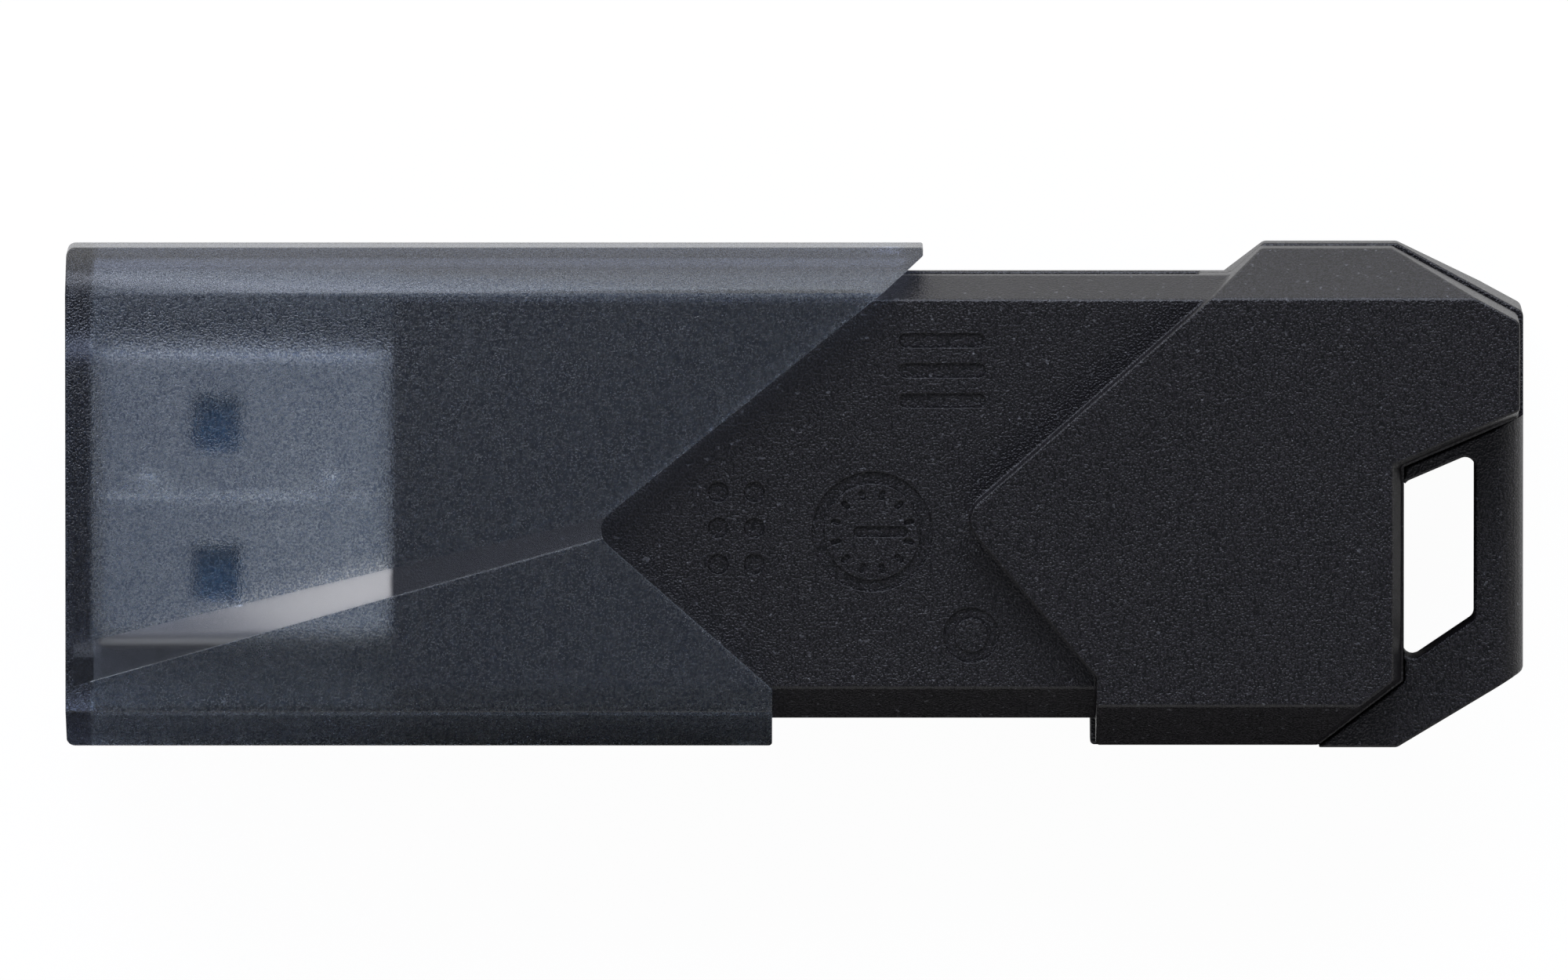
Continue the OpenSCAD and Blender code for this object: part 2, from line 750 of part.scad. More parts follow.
// Cross section that fills the shell's upper half, from the height z
module tongue_outline(z) {
  polygon(rounded(
    [[-tongue_w / 2, z], [tongue_w / 2, z], [tongue_w / 2, tongue_top], [-tongue_w / 2, tongue_top]],
    [0, 0, tongue_r, tongue_r]
  ));
}

module plug_tongue() {
  color([0.1, 0.25, 0.5])
    difference() {
      along_x(tongue_x, tongue_back_x) tongue_outline(mid_z);
      tongue_slots();
      for (side = [-1, 1])
        translate([plug_tip_x + window_x, side * window_spacing / 2, tongue_top])
          cube([window_len, window_w, 0.5], center = true);
    }
}

module plug_spacer() {
  color([0.12, 0.12, 0.12])
    difference() {
      along_x(tongue_back_x + contact_gap, spacer_back_x) tongue_outline(board_top);
      tongue_slots();
      block([plug_back_x - over, plug_back_x + over], [-plug_w, plug_w], [0, board_top]);
    }
}

// Side view of a contact's tail: straight through the spacer, down, and a foot on the board
module tail_profile(from_x) {
  polygon([
    [from_x, contact_low],
    [foot_x, contact_low],
    [foot_x, board_top],
    [foot_x + foot_len, board_top],
    [foot_x + foot_len, board_top + contact_t],
    [foot_x + contact_t, board_top + contact_t],
    [foot_x + contact_t, contact_top],
    [from_x, contact_top]
  ]);
}

// Flat contact of the slower bus: a wide pad at the front and a narrow stem
module flat_contact(pad_y, stem_y, front_setback) {
  pad_end = tongue_x + pad_len + 0.8;
  color([0.85, 0.68, 0.3]) {
    block([tongue_x + front_setback, pad_end], span(pad_y, pad_w), [contact_low, contact_top]);
    along_y(stem_y - stem_w / 2, stem_y + stem_w / 2) tail_profile(pad_end - 0.5);
  }
}

// Bowed contact of the faster bus, behind the flat ones
module spring_contact(place) {
  y = place * spring_pitch;
  x = plug_tip_x + spring_x;
  color([0.85, 0.68, 0.3])
    along_y(y - spring_w / 2, y + spring_w / 2) {
      tail_profile(x + 3.2);
      polygon([
        [x, contact_low],
        [x + 1.1, contact_low - spring_bow],
        [x + 1.9, contact_low - spring_bow],
        [x + 3.3, contact_low],
        [x + 3.3, contact_top],
        [x + 1.9, contact_top - spring_bow],
        [x + 1.1, contact_top - spring_bow],
        [x, contact_top]
      ]);
    }
}

module pad_supply() { flat_contact(pad_outer_y, outer_stem_y(), 0.4); }
module pad_data_minus() { flat_contact(pad_inner_y, pad_inner_y, 1.4); }
module pad_data_plus() { flat_contact(-pad_inner_y, -pad_inner_y, 1.4); }
module pad_ground() { flat_contact(-pad_outer_y, -outer_stem_y(), 0.4); }
module spring_receive_minus() { spring_contact(-2); }
module spring_receive_plus() { spring_contact(-1); }
module spring_drain() { spring_contact(0); }
module spring_transmit_minus() { spring_contact(1); }
module spring_transmit_plus() { spring_contact(2); }

// ---------- Board ----------

module circuit_board() {
  color([0.05, 0.3, 0.2])
    between_z(board_low, board_top)
      difference() {
        polygon(rounded(
          [[board_x, -board_w / 2], [board_end_x, -board_w / 2], [board_end_x, board_w / 2], [board_x, board_w / 2]],
          [0.8, 0.8, 0.8, 0.8]
        ));
        for (side = [-1, 1])
          translate([(lug_x + arm_end_x - lug_gap) / 2, side * (plug_w - plug_sheet) / 2])
            square([arm_end_x - lug_x - lug_gap + 2 * lug_gap, plug_sheet + 2 * lug_gap], center = true);
        for (p = pins)
          translate(p) circle(r = pin_r + pin_gap, $fn = round_fn);
      }
}

// Flat square package with a row of exposed pads along each side
module controller_chip() {
  pads = 12;
  color([0.08, 0.08, 0.09])
    translate([controller_x, 0, board_top]) {
      translate([-controller_w / 2, -controller_w / 2, 0.05]) cube([controller_w, controller_w, controller_h - 0.05]);
      for (turn = [0:3], i = [0:pads - 1])
        rotate([0, 0, 90 * turn])
          translate([controller_w / 2 - 0.4, (i - (pads - 1) / 2) * 0.5 - 0.12, 0])
            cube([0.43, 0.24, 0.25]);
    }
}

// Side view of a gull-wing leg, with its foot on the board at z = 0
module leg_profile(height, reach) {
  t = 0.13;
  polygon([
    [-0.3, height], [0.45 * reach, height], [0.55 * reach, t], [reach, t],
    [reach, 0], [0.45 * reach, 0], [0.35 * reach, height - t], [-0.3, height - t]
  ]);
}

module leg(height, reach, width) {
  translate([0, width / 2, 0]) rotate([90, 0, 0]) linear_extrude(width) leg_profile(height, reach);
}

// Thin package under the board with 24 legs at each end
module flash_chip() {
  legs = 24;
  color([0.1, 0.1, 0.11])
    translate([flash_x, 0, board_low])
      mirror([0, 0, 1]) {
        translate([-flash_len / 2, -flash_w / 2, 0.1]) cube([flash_len, flash_w, flash_h]);
        for (turn = [0, 180], i = [0:legs - 1])
          rotate([0, 0, turn])
            translate([flash_len / 2, (i - (legs - 1) / 2) * flash_w / legs, 0])
              leg(0.6, flash_leg, 0.2);
      }
}

// Ceramic base with a narrower metal lid
module crystal() {
  lid = crystal_can - [0.4, 0.4, 0];
  color([0.75, 0.75, 0.72])
    translate([side_parts_x, -controller_w / 2 - 0.3, board_top]) {
      translate([0, 0, crystal_can[2] / 4]) cube([crystal_can[0], crystal_can[1], crystal_can[2] / 2], center = true);
      translate([0, 0, crystal_can[2] / 2]) cube(lid, center = true);
    }
}

module voltage_regulator() {
  color([0.1, 0.1, 0.1])
    translate([side_parts_x, controller_w / 2 + 0.1, board_top]) {
      translate([0, 0, 0.1 + regulator[2] / 2]) cube(regulator, center = true);
      for (place = [-1, 0, 1])
        translate([place * regulator[0] / 3, -regulator[1] / 2, 0]) rotate([0, 0, -90]) leg(0.6, 0.6, 0.4);
      for (place = [-1, 1])
        translate([place * regulator[0] / 3, regulator[1] / 2, 0]) rotate([0, 0, 90]) leg(0.6, 0.6, 0.4);
    }
}

// Chip component with a metal cap at each end
module small_chip(x, y, size) {
  cap = 0.22 * max(size[0], size[1]);
  flat = size[0] > size[1] ? [size[0] - 2 * cap, size[1] - 0.08] : [size[0] - 0.08, size[1] - 2 * cap];
  translate([x, y, board_top + size[2] / 2])
    difference() {
      cube(size, center = true);
      for (side = [-1, 1])
        translate([0, 0, side * size[2] / 2]) cube([flat[0], flat[1], 0.06], center = true);
    }
}

module line_filters() {
  color([0.15, 0.15, 0.15])
    for (i = [-1:1])
      small_chip(filters_x, i * 1.2 * line_filter[1], line_filter);
}

module capacitors() {
  color([0.6, 0.45, 0.3]) {
    for (side = [-1, 1], i = [-2:2])
      small_chip(controller_x + i * controller_w / 4.4, side * (controller_w / 2 + capacitor[1]), capacitor);
    for (i = [0:1])
      small_chip(side_parts_x + 2 * bulk_capacitor[0], controller_w / 2 + 1.4 - 1.6 * i * bulk_capacitor[1], bulk_capacitor);
  }
}

module resistors() {
  color([0.12, 0.12, 0.14])
    for (i = [0:4])
      small_chip(side_parts_x + 3.2 * resistor[0], -controller_w / 2 - 1.7 + 2.2 * i * resistor[1], resistor);
}

cap_sleeve();
back_shell();
front_shell();
plug_shell();
plug_tongue();
plug_spacer();
pad_supply();
pad_data_minus();
pad_data_plus();
pad_ground();
spring_receive_minus();
spring_receive_plus();
spring_drain();
spring_transmit_minus();
spring_transmit_plus();
circuit_board();
controller_chip();
flash_chip();
crystal();
voltage_regulator();
line_filters();
capacitors();
resistors();
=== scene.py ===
# %% [markdown]
# # A memory stick with a sliding cap
# The stick is 60 mm long: two black moulded shells, a steel plug, and a smoky see-through cap
# that slides back along the core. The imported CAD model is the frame, so nothing here changes
# a size. This script dresses the CAD solids, gives every surface its finish, and lights them.

# %% Load the frame
import math

import bmesh
import bpy
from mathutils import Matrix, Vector
from mathutils.bvhtree import BVHTree


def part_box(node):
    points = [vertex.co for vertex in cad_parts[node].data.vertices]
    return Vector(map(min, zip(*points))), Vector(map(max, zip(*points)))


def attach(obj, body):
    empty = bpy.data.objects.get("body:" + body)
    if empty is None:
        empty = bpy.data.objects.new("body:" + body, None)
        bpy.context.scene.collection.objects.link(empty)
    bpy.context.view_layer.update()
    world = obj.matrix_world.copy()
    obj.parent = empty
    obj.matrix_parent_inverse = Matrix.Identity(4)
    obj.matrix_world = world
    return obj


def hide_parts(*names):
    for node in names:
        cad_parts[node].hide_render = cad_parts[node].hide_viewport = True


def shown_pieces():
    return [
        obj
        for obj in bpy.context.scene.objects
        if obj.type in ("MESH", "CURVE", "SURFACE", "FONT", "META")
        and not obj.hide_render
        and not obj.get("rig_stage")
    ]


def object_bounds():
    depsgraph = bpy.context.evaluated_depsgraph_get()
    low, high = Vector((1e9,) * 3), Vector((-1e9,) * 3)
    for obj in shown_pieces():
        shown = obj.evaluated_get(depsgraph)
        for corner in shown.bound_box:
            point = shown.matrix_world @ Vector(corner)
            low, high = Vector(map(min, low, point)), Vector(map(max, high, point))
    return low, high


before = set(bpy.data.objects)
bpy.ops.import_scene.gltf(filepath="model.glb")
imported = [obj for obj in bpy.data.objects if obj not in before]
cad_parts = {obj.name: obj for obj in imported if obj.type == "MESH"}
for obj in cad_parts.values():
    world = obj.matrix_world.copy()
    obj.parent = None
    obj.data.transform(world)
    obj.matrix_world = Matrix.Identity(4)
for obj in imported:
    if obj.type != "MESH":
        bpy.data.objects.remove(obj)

MM = 0.001
scene = bpy.context.scene
cad_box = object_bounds()
print("CAD box in mm:", [[round(c / MM, 2) for c in corner] for corner in cad_box])

# %% [markdown]
# ## The camera
# The photograph looks straight down on the back face with a long lens, tipped a little, because
# the stick's upper side wall shows as a thin pale band and the lower one doesn't. A camera above
# the middle, leaning 4.2 degrees, gives that band its width. The distance and the lens together
# set the scale: a long lens from 1.7 m keeps the outline's sides as parallel as they are there.

# %% Camera
CAMERA_TARGET = Vector((-0.463, 0.16, 5.05)) * MM
CAMERA_DISTANCE = 1700 * MM
CAMERA_LEAN = math.radians(4.2)
CAMERA_LENS = 939.2
SENSOR = 36.0

bpy.ops.object.camera_add()
camera = bpy.context.object
camera.name = "photo_camera"
camera.data.sensor_fit = "AUTO"
camera.data.sensor_width = SENSOR
camera.data.lens = CAMERA_LENS
camera.data.shift_x = 0.0
camera.data.shift_y = 0.0
away = Vector((0, math.sin(CAMERA_LEAN), math.cos(CAMERA_LEAN)))
camera.location = CAMERA_TARGET + CAMERA_DISTANCE * away
camera.rotation_euler = (-CAMERA_LEAN, 0, 0)
scene.camera = camera
bpy.context.view_layer.update()
print("camera at", [round(c / MM, 1) for c in camera.location], "mm")

# %% [markdown]
# ## Points of the photograph
# A few places are read off the photograph and kept here as pixels of its frame, scaled to 1568
# by 980. `seen_at` says where a place of the model shows in that frame. `under` goes the other
# way: it casts a ray from the camera through a pixel and says where it meets a mesh, which is how
# the marks on the back get their places. At the end the script measures how far each part of the
# finished model shows from its point.

# %% Image points and the two ways between pixels and places
W, H = 1568, 980
L = max(W, H)


def seen_at(place):
    """Pixel of the frame where a place shows."""
    local = camera.matrix_world.inverted() @ place
    scale = L * camera.data.lens / camera.data.sensor_width / -local.z
    return (W / 2 + local.x * scale - camera.data.shift_x * L,
            H / 2 - local.y * scale + camera.data.shift_y * L)


def under(x, y, tree):
    """Place of the surface that shows at a pixel; a miss takes the place nearest the ray."""
    local = Vector((x - W / 2 + camera.data.shift_x * L, H / 2 - y + camera.data.shift_y * L,
                    -L * camera.data.lens / camera.data.sensor_width))
    start = camera.matrix_world.translation
    ray = (camera.matrix_world.to_3x3() @ local).normalized()
    place = tree.ray_cast(start, ray)[0]
    if place is None:
        place = tree.find_nearest(start + ray * CAMERA_DISTANCE)[0]
    return place


# What shows, the piece, a box in mm that holds its vertices, which end of them counts in x and y
# (a dash where it doesn't matter), and the pixel
POINTS = [
    ("left side", "", ((-40, -20, -5), (40, 20, 20)), "min", "-", 65.1, 0),
    ("right side", "", ((-40, -20, -5), (40, 20, 20)), "max", "-", 1524.5, 0),
    ("top side", "", ((-40, -20, -5), (40, 20, 20)), "-", "min", 0, 239.5),
    ("bottom side", "", ((-40, -20, -5), (40, 20, 20)), "-", "max", 0, 747.9),
    ("end of the long wing", "sliding_cap", ((0, 8, 0), (7, 12, 10)), "max", "-", 922.8, 0),
    ("end of the short wing", "sliding_cap", ((-4, -12, 6), (0, -9, 10)), "max", "-", 771.5, 0),
    ("notch of the cap", "sliding_cap", ((-9.2, -1.6, 9.3), (-7.4, -0.7, 10.05)), "min", "mid", 601.3, 530),
    ("tip of the shoulder", "back_cover", ((6.3, -3.3, 9.2), (8.6, 2.0, 10.2)), "min", "-", 969.8, 520.9),
    ("core behind the plug", "back_cover", ((-17, -8, 8), (-16.5, 8, 8.9)), "min", "-", 392.8, 0),
    ("upper latch window", "plug_case", ((-25.5, 1, 7.2), (-22.5, 5, 7.35)), "mid", "mid", 218, 424.1),
    ("lower latch window", "plug_case", ((-25.5, -5, 7.2), (-22.5, -1, 7.35)), "mid", "mid", 218, 571.5),
    ("housing behind the shoulder", "front_case", ((18, 10, 3), (21, 11, 5)), "min", "-", 1260.7, 0),
    ("hole, upper left", "front_case", ((25, -1.0, 6.3), (26.2, 1.2, 6.7)), "min", "-", 1404, 0),
    ("hole, lower side", "front_case", ((25, -7.5, 6.3), (27.4, -5.2, 6.7)), "-", "max", 0, 661.2),
    ("hole, right side", "front_case", ((27.9, -4.9, 3.58), (28.4, 1.9, 3.9)), "max", "-", 1473.5, 0),
]
print(len(POINTS), "image points")

# %% [markdown]
# ## Finishes as sums
# A finish is a small calculation that runs at every point of a surface: noise makes grain, a
# threshold turns noise into specks, a product darkens a colour. Written with node calls that is
# long, so a small class wraps a node's output and lets Python's own signs add the Math nodes. As
# the signs work from either side, `1 - mask` is as good as `mask - 1`.

# %% A socket that can be calculated with
class Wire:
    """A node's output. + - * and abs() add a Math node; node() adds any other node."""

    def __init__(self, tree, socket=None):
        self.tree, self.socket = tree, socket

    def node(self, kind, settings=None, sockets=None, output=0):
        made = self.tree.nodes.new(kind)
        for name, value in (settings or {}).items():
            if name == "stops":
                stops = made.color_ramp.elements
                while len(stops) > 1:
                    stops.remove(stops[-1])
                stops[0].position, stops[0].color = value[0][0], (*value[0][1], 1)
                for position, colour in value[1:]:
                    stops.new(position).color = (*colour, 1)
            else:
                setattr(made, name, value)
        for name, value in (sockets or {}).items():
            if isinstance(value, Wire):
                self.tree.links.new(value.socket, made.inputs[name])
            else:
                made.inputs[name].default_value = value
        return Wire(self.tree, made.outputs[output])

    def math(self, operation, a, b=0.0):
        return self.node("ShaderNodeMath", {"operation": operation}, {0: a, 1: b})

    def __abs__(self): return self.math("ABSOLUTE", self)
    def __add__(self, other): return self.math("ADD", self, other)
    def __radd__(self, other): return self.math("ADD", other, self)
    def __sub__(self, other): return self.math("SUBTRACT", self, other)
    def __rsub__(self, other): return self.math("SUBTRACT", other, self)
    def __mul__(self, other): return self.math("MULTIPLY", self, other)
    def __rmul__(self, other): return self.math("MULTIPLY", other, self)

    def between(self, low, high):
        """0 below low and 1 above high."""
        ends = {"Value": self, "From Min": low, "From Max": high}
        return self.node("ShaderNodeMapRange", {"clamp": True}, ends)

    def noise(self, size, detail=2.0, roughness=0.5, stretch=(1, 1, 1)):
        """Cloudy noise on this vector, with bumps about size metres wide."""
        scale = tuple(s / size for s in stretch)
        spread = self.node("ShaderNodeMapping", {}, {"Vector": self, "Scale": scale})
        sockets = {"Vector": spread, "Scale": 1.0, "Detail": detail, "Roughness": roughness}
        return self.node("ShaderNodeTexNoise", {}, sockets)

    def mixed(self, colour, other):
        """colour where this is 0 and other where it is 1."""
        first, second = (c if isinstance(c, Wire) else (*c, 1) for c in (colour, other))
        return self.node("ShaderNodeMix", {"data_type": "RGBA"}, {0: self, 6: first, 7: second}, 2)

    def bump(self, height, strength=1.0, on=None):
        """Normal of a surface that this raises by up to height metres, on top of the normal on."""
        sockets = {"Height": self, "Distance": height, "Strength": strength}
        return self.node("ShaderNodeBump", {}, {**sockets, "Normal": on} if on else sockets)


def finish(name, **constants):
    """A new material with one Principled shader: the material, its shader, object coordinates."""
    material = bpy.data.materials.new(name)
    material.use_nodes = True
    tree = material.node_tree
    shader = next(n for n in tree.nodes if n.type == "BSDF_PRINCIPLED")
    for socket, value in constants.items():
        shader.inputs[socket.replace("_", " ")].default_value = value
    place = Wire(tree).node("ShaderNodeTexCoord", output="Object")
    return material, shader, place


def feed(shader, **wires):
    """Links wires to the shader's sockets."""
    for socket, wire in wires.items():
        wire.tree.links.new(wire.socket, shader.inputs[socket.replace("_", " ")])


print("helpers:", Wire.__name__, finish.__name__, feed.__name__)

# %% [markdown]
# ## Spark-eroded black plastic
# The mould's steel was textured by sparks, so the plastic has a grain of pits about a tenth of a
# millimetre wide, and here and there one glints. A fine noise raises the surface for the grain, a
# second noise picks out rare glossy spots, painted lighter on the shells as a painted glint, and a
# slow one varies the black a little.

# %% Black shells
# Width of the grain's pits and how high it stands, in metres, and the noise between which it rises
SHELL_PITS, SHELL_GRAIN, SHELL_NOISE = 0.00009, 0.00002, (0.42, 0.7)
GLINT_WIDTH, GLINT_NOISE = 0.00023, (0.7, 0.76)


def spark_grain(place, size, height, noise):
    """Grain of the eroded mould from 0 to 1, rare smooth spots, and the normal of the grain."""
    grain = place.noise(size, 1.0, 0.5).between(*noise)
    glints = place.noise(GLINT_WIDTH, 1.0).between(*GLINT_NOISE)
    return grain, glints, grain.bump(height)


black_plastic, shader, place = finish("black_spark_plastic", IOR=1.45,
                                      Coat_Roughness=0.3, Coat_IOR=1.9)
grain, glints, normal = spark_grain(place, SHELL_PITS, SHELL_GRAIN, SHELL_NOISE)
cloud = place.noise(0.006, 2.0)
shade = (grain * 0.9 + cloud * 0.1).mixed((0.0, 0.0, 0.0002), (0.0075, 0.005, 0.0085))
# The rare spots are painted lighter, a painted glint, as well as made less rough
feed(shader, Base_Color=glints.mixed(shade, (0.06, 0.06, 0.065)),
     Roughness=0.36 + cloud * 0.06 + grain * 0.08 - glints * 0.1,
     Coat_Weight=grain * 0.1, Normal=normal)
print("finish:", black_plastic.name)

# %% [markdown]
# ## The smoky cap
# The cap is tinted polycarbonate: dark and bluish, see-through, and frosted by the same grain.
# Real refraction in the shader blurs the plug behind it. The tint is on the surfaces and not in the
# volume, because a volume would stop the lamps' rays. Lamps can't shine through refracting
# walls in a render without much noise, so their rays meet a plain tinted pane instead. The
# photograph looks down the full height of the front wall and of the upper side wall, and they
# show darker there, so both carry a painted shade: a deeper tint painted into their colour. A
# narrow facet on the back and the moulded inside are polished, so each has its own finish.

# %% Cap plastic
MILK = 0.004  # the share of the light that the plastic scatters instead of letting it through
PANE = (0.7, 0.72, 0.76)
CAP_PITS, CAP_GRAIN, CAP_NOISE = 0.00008, 0.000013, (0.38, 0.62)
# Where the deeper tint, a painted shade, of the front wall and of the upper side wall sets in, in mm
FRONT_WALL_SHADE, SIDE_WALL_SHADE = (-29.25, -29.15), (9.35, 9.6)
CLEAR_TINTS = (0.11, 0.18, 0.32), (0.87, 0.96, 1.0)
# Painted shade: the deeper tints of the front wall and of the upper side wall
SHADED_WALL_TINTS = (0.04, 0.05, 0.08), (0.2, 0.23, 0.32)
POLISHED_TINTS = (0.86, 0.88, 0.92), (0.96, 0.97, 1.0)


def across(place, axis, low, high):
    """0 where a coordinate is below low mm and 1 where it is above high."""
    return place.node("ShaderNodeSeparateXYZ", {}, {0: place}, axis).between(low * MM, high * MM)


def outward(place, low, high):
    """0 within low mm of the middle plane along the stick and 1 beyond high mm, on both sides."""
    return abs(place.node("ShaderNodeSeparateXYZ", {}, {0: place}, 1)).between(low * MM, high * MM)


def smoky(name, roughness, grained):
    """Tinted see-through plastic with a finish of its own."""
    material, shader, place = finish(name, IOR=1.45, Transmission_Weight=1 - MILK,
                                     Coat_Roughness=0.3, Coat_IOR=1.9)
    streak = place.noise(0.004, 3.0)
    if grained:
        grain, glints, normal = spark_grain(place, CAP_PITS, CAP_GRAIN, CAP_NOISE)
        speck = grain * 0.9 + streak * 0.1
        clear, deep = speck.mixed(*CLEAR_TINTS), speck.mixed(*SHADED_WALL_TINTS)
        # The front wall and the upper side wall take the deeper tints, a painted shade
        front, side = across(place, 0, *FRONT_WALL_SHADE), across(place, 1, *SIDE_WALL_SHADE)
        tint = (side + (1 - front)).between(0, 1).mixed(clear, deep)
        feed(shader, Base_Color=tint, Roughness=roughness + grain * 0.06 - glints * 0.1,
             Coat_Weight=grain * 0.03, Normal=normal)
    else:
        feed(shader, Base_Color=streak.mixed(*POLISHED_TINTS), Roughness=roughness + streak * 0.05)
    tree = material.node_tree
    output = next(n for n in tree.nodes if n.type == "OUTPUT_MATERIAL")
    lamp = Wire(tree).node("ShaderNodeLightPath", output="Is Shadow Ray")
    pane = Wire(tree).node("ShaderNodeBsdfTransparent", {}, {"Color": (*PANE, 1)})
    plastic = Wire(tree, shader.outputs[0])
    both = Wire(tree).node("ShaderNodeMixShader", {}, {0: lamp, 1: plastic, 2: pane})
    tree.links.new(both.socket, output.inputs["Surface"])
    return material


cap_grained = smoky("smoky_grained_plastic", 0.22, True)
cap_polished = smoky("smoky_polished_plastic", 0.1, False)
cap_inside = smoky("smoky_moulded_inside", 0.16, False)
print("finishes:", cap_grained.name, cap_polished.name, cap_inside.name)

# %% [markdown]
# ## Metals and the parts inside
# The plug is rolled from nickel-plated steel sheet, with faint lines along the rolling direction.
# The contacts are gold-plated. The parts on the board are seldom seen, but the cap slides and
# parts are taken apart in other uses, so each has the finish of its kind.

# %% Metals
# The plug's sheet in mm: how far from the middle plane its bend into the side walls begins and
# ends, the stretch of its top along the stick, and how much that falls towards the core
PLUG_BEND = (5.2, 5.6)
SHEET_TOP = (-26.0, -16.5)
SHEET_FALL = 0.3


def metal(name, dark, light, roughness, line=0.00005, stretch=(0.02, 1, 1), crown=None):
    """Metal with rolling lines of a given width, and painted shade past the sheet's bend."""
    material, shader, place = finish(name, Metallic=1.0)
    lines = place.noise(line, 2.0, 0.5, stretch)
    stain = place.noise(0.003, 3.0)
    base = crown(place) if crown else None
    bend = outward(place, *PLUG_BEND)
    face = (lines * 0.5 + stain * 0.5).mixed(dark, light)
    # Past the bend the colour falls to 0.35 of the dark one: painted shade that dims the lamp's highlight
    # there
    shade = bend.mixed(face, tuple(0.35 * c for c in dark))
    feed(shader, Base_Color=shade, Roughness=roughness + lines * 0.03 + stain * 0.03 + bend * 0.3,
         Normal=lines.bump(0.000002, 0.6, base))
    return material


def sheet_crown(place):
    """The bent sheet isn't quite flat: it falls a little towards the core."""
    x = across(place, 0, *SHEET_TOP)
    return (1 - x * x).bump(SHEET_FALL * MM)


plug_steel = metal("rolled_nickel_steel", (0.93, 0.87, 0.8), (1.0, 0.96, 0.9), 0.1, crown=sheet_crown)
contact_gold = metal("gold_plating", (0.72, 0.5, 0.2), (0.9, 0.68, 0.34), 0.2, 0.00004)
can_metal = metal("crystal_can", (0.55, 0.55, 0.53), (0.7, 0.7, 0.68), 0.3, 0.0001, (1, 1, 1))
print("finishes:", plug_steel.name, contact_gold.name, can_metal.name)

# %% Plastics, laminate and ceramics
def moulded(name, dark, light, roughness, size=0.0002, height=0.000008):
    """Dull moulded stuff with a fine grain of a given size and height in metres."""
    material, shader, place = finish(name)
    fine, broad = place.noise(size, 2.0), place.noise(0.002, 2.0)
    feed(shader, Base_Color=(fine * 0.5 + broad * 0.5).mixed(dark, light),
         Roughness=roughness + fine * 0.12, Normal=fine.bump(height))
    return material


tongue_blue = moulded("blue_tongue_plastic", (0.004, 0.042, 0.085), (0.007, 0.056, 0.11), 0.4)
spacer_black = moulded("black_spacer_plastic", (0.006, 0.006, 0.007), (0.014, 0.014, 0.015), 0.45)
chip_epoxy = moulded("chip_epoxy", (0.012, 0.012, 0.013), (0.028, 0.028, 0.03), 0.5, 0.00008)
ceramic_dark = moulded("dark_ceramic", (0.015, 0.015, 0.018), (0.035, 0.035, 0.04), 0.35)
ceramic_tan = moulded("tan_ceramic", (0.32, 0.2, 0.11), (0.42, 0.28, 0.16), 0.4)

board_green, shader, place = finish("green_solder_mask")
weave = place.node("ShaderNodeTexWave", {"wave_type": "BANDS", "bands_direction": "X"},
                   {"Vector": place, "Scale": 700.0, "Distortion": 0.4}, 1)
tracks = place.node("ShaderNodeTexBrick", {}, {"Vector": place, "Scale": 420.0, "Mortar Size": 0.04}, 1)
feed(shader, Base_Color=(weave * 0.4 + tracks * 0.5).mixed((0.005, 0.07, 0.035), (0.012, 0.13, 0.07)),
     Roughness=0.3 + weave * 0.1, Normal=(tracks + weave * 0.3).bump(0.00002))
print("finishes:", tongue_blue.name, spacer_black.name, chip_epoxy.name, ceramic_dark.name,
      ceramic_tan.name, board_green.name)

# %% [markdown]
# ## Dressing a solid
# A moulded edge is never sharp: a small radius catches the light and gives each part its outline.
# The CAD solids have none of these small radii, so a copy of each is merged, its flat faces are
# joined, and a bevel rounds every sharp edge. The copy then stands in for the solid.

# %% Dress a copy of a CAD solid
MERGE = 0.001 * MM
FLAT = math.radians(0.4)  # faces that meet at less than this are one flat face
SMOOTH = math.radians(35)


def only(obj):
    """Selects obj alone and makes it active."""
    bpy.ops.object.select_all(action="DESELECT")
    obj.select_set(True)
    bpy.context.view_layer.objects.active = obj


def apply(obj, kind, **settings):
    """Adds a modifier and applies it."""
    only(obj)
    modifier = obj.modifiers.new(kind.lower(), kind)
    for name, value in settings.items():
        setattr(modifier, name, value)
    bpy.ops.object.modifier_apply(modifier=modifier.name)


def in_edit(obj):
    """Opens obj in edit mode with nothing selected and gives its bmesh."""
    only(obj)
    bpy.ops.object.mode_set(mode="EDIT")
    bpy.ops.mesh.select_all(action="DESELECT")
    return bmesh.from_edit_mesh(obj.data)


def copy_of(node, name):
    """A merged copy of a CAD node's mesh, with its flat faces joined."""
    only(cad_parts[node])
    bpy.ops.object.duplicate()
    obj = bpy.context.object
    obj.name = name
    for key in list(obj.keys()):
        if key.startswith("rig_"):
            del obj[key]
    world = obj.matrix_world.copy()
    obj.parent = None
    obj.matrix_world = world
    obj.data.name = name
    obj.data.materials.clear()
    only(obj)
    bpy.ops.object.mode_set(mode="EDIT")
    bpy.ops.mesh.select_all(action="SELECT")
    bpy.ops.mesh.remove_doubles(threshold=MERGE)
    bpy.ops.mesh.dissolve_limited(angle_limit=FLAT)
    bpy.ops.object.mode_set(mode="OBJECT")
    return obj


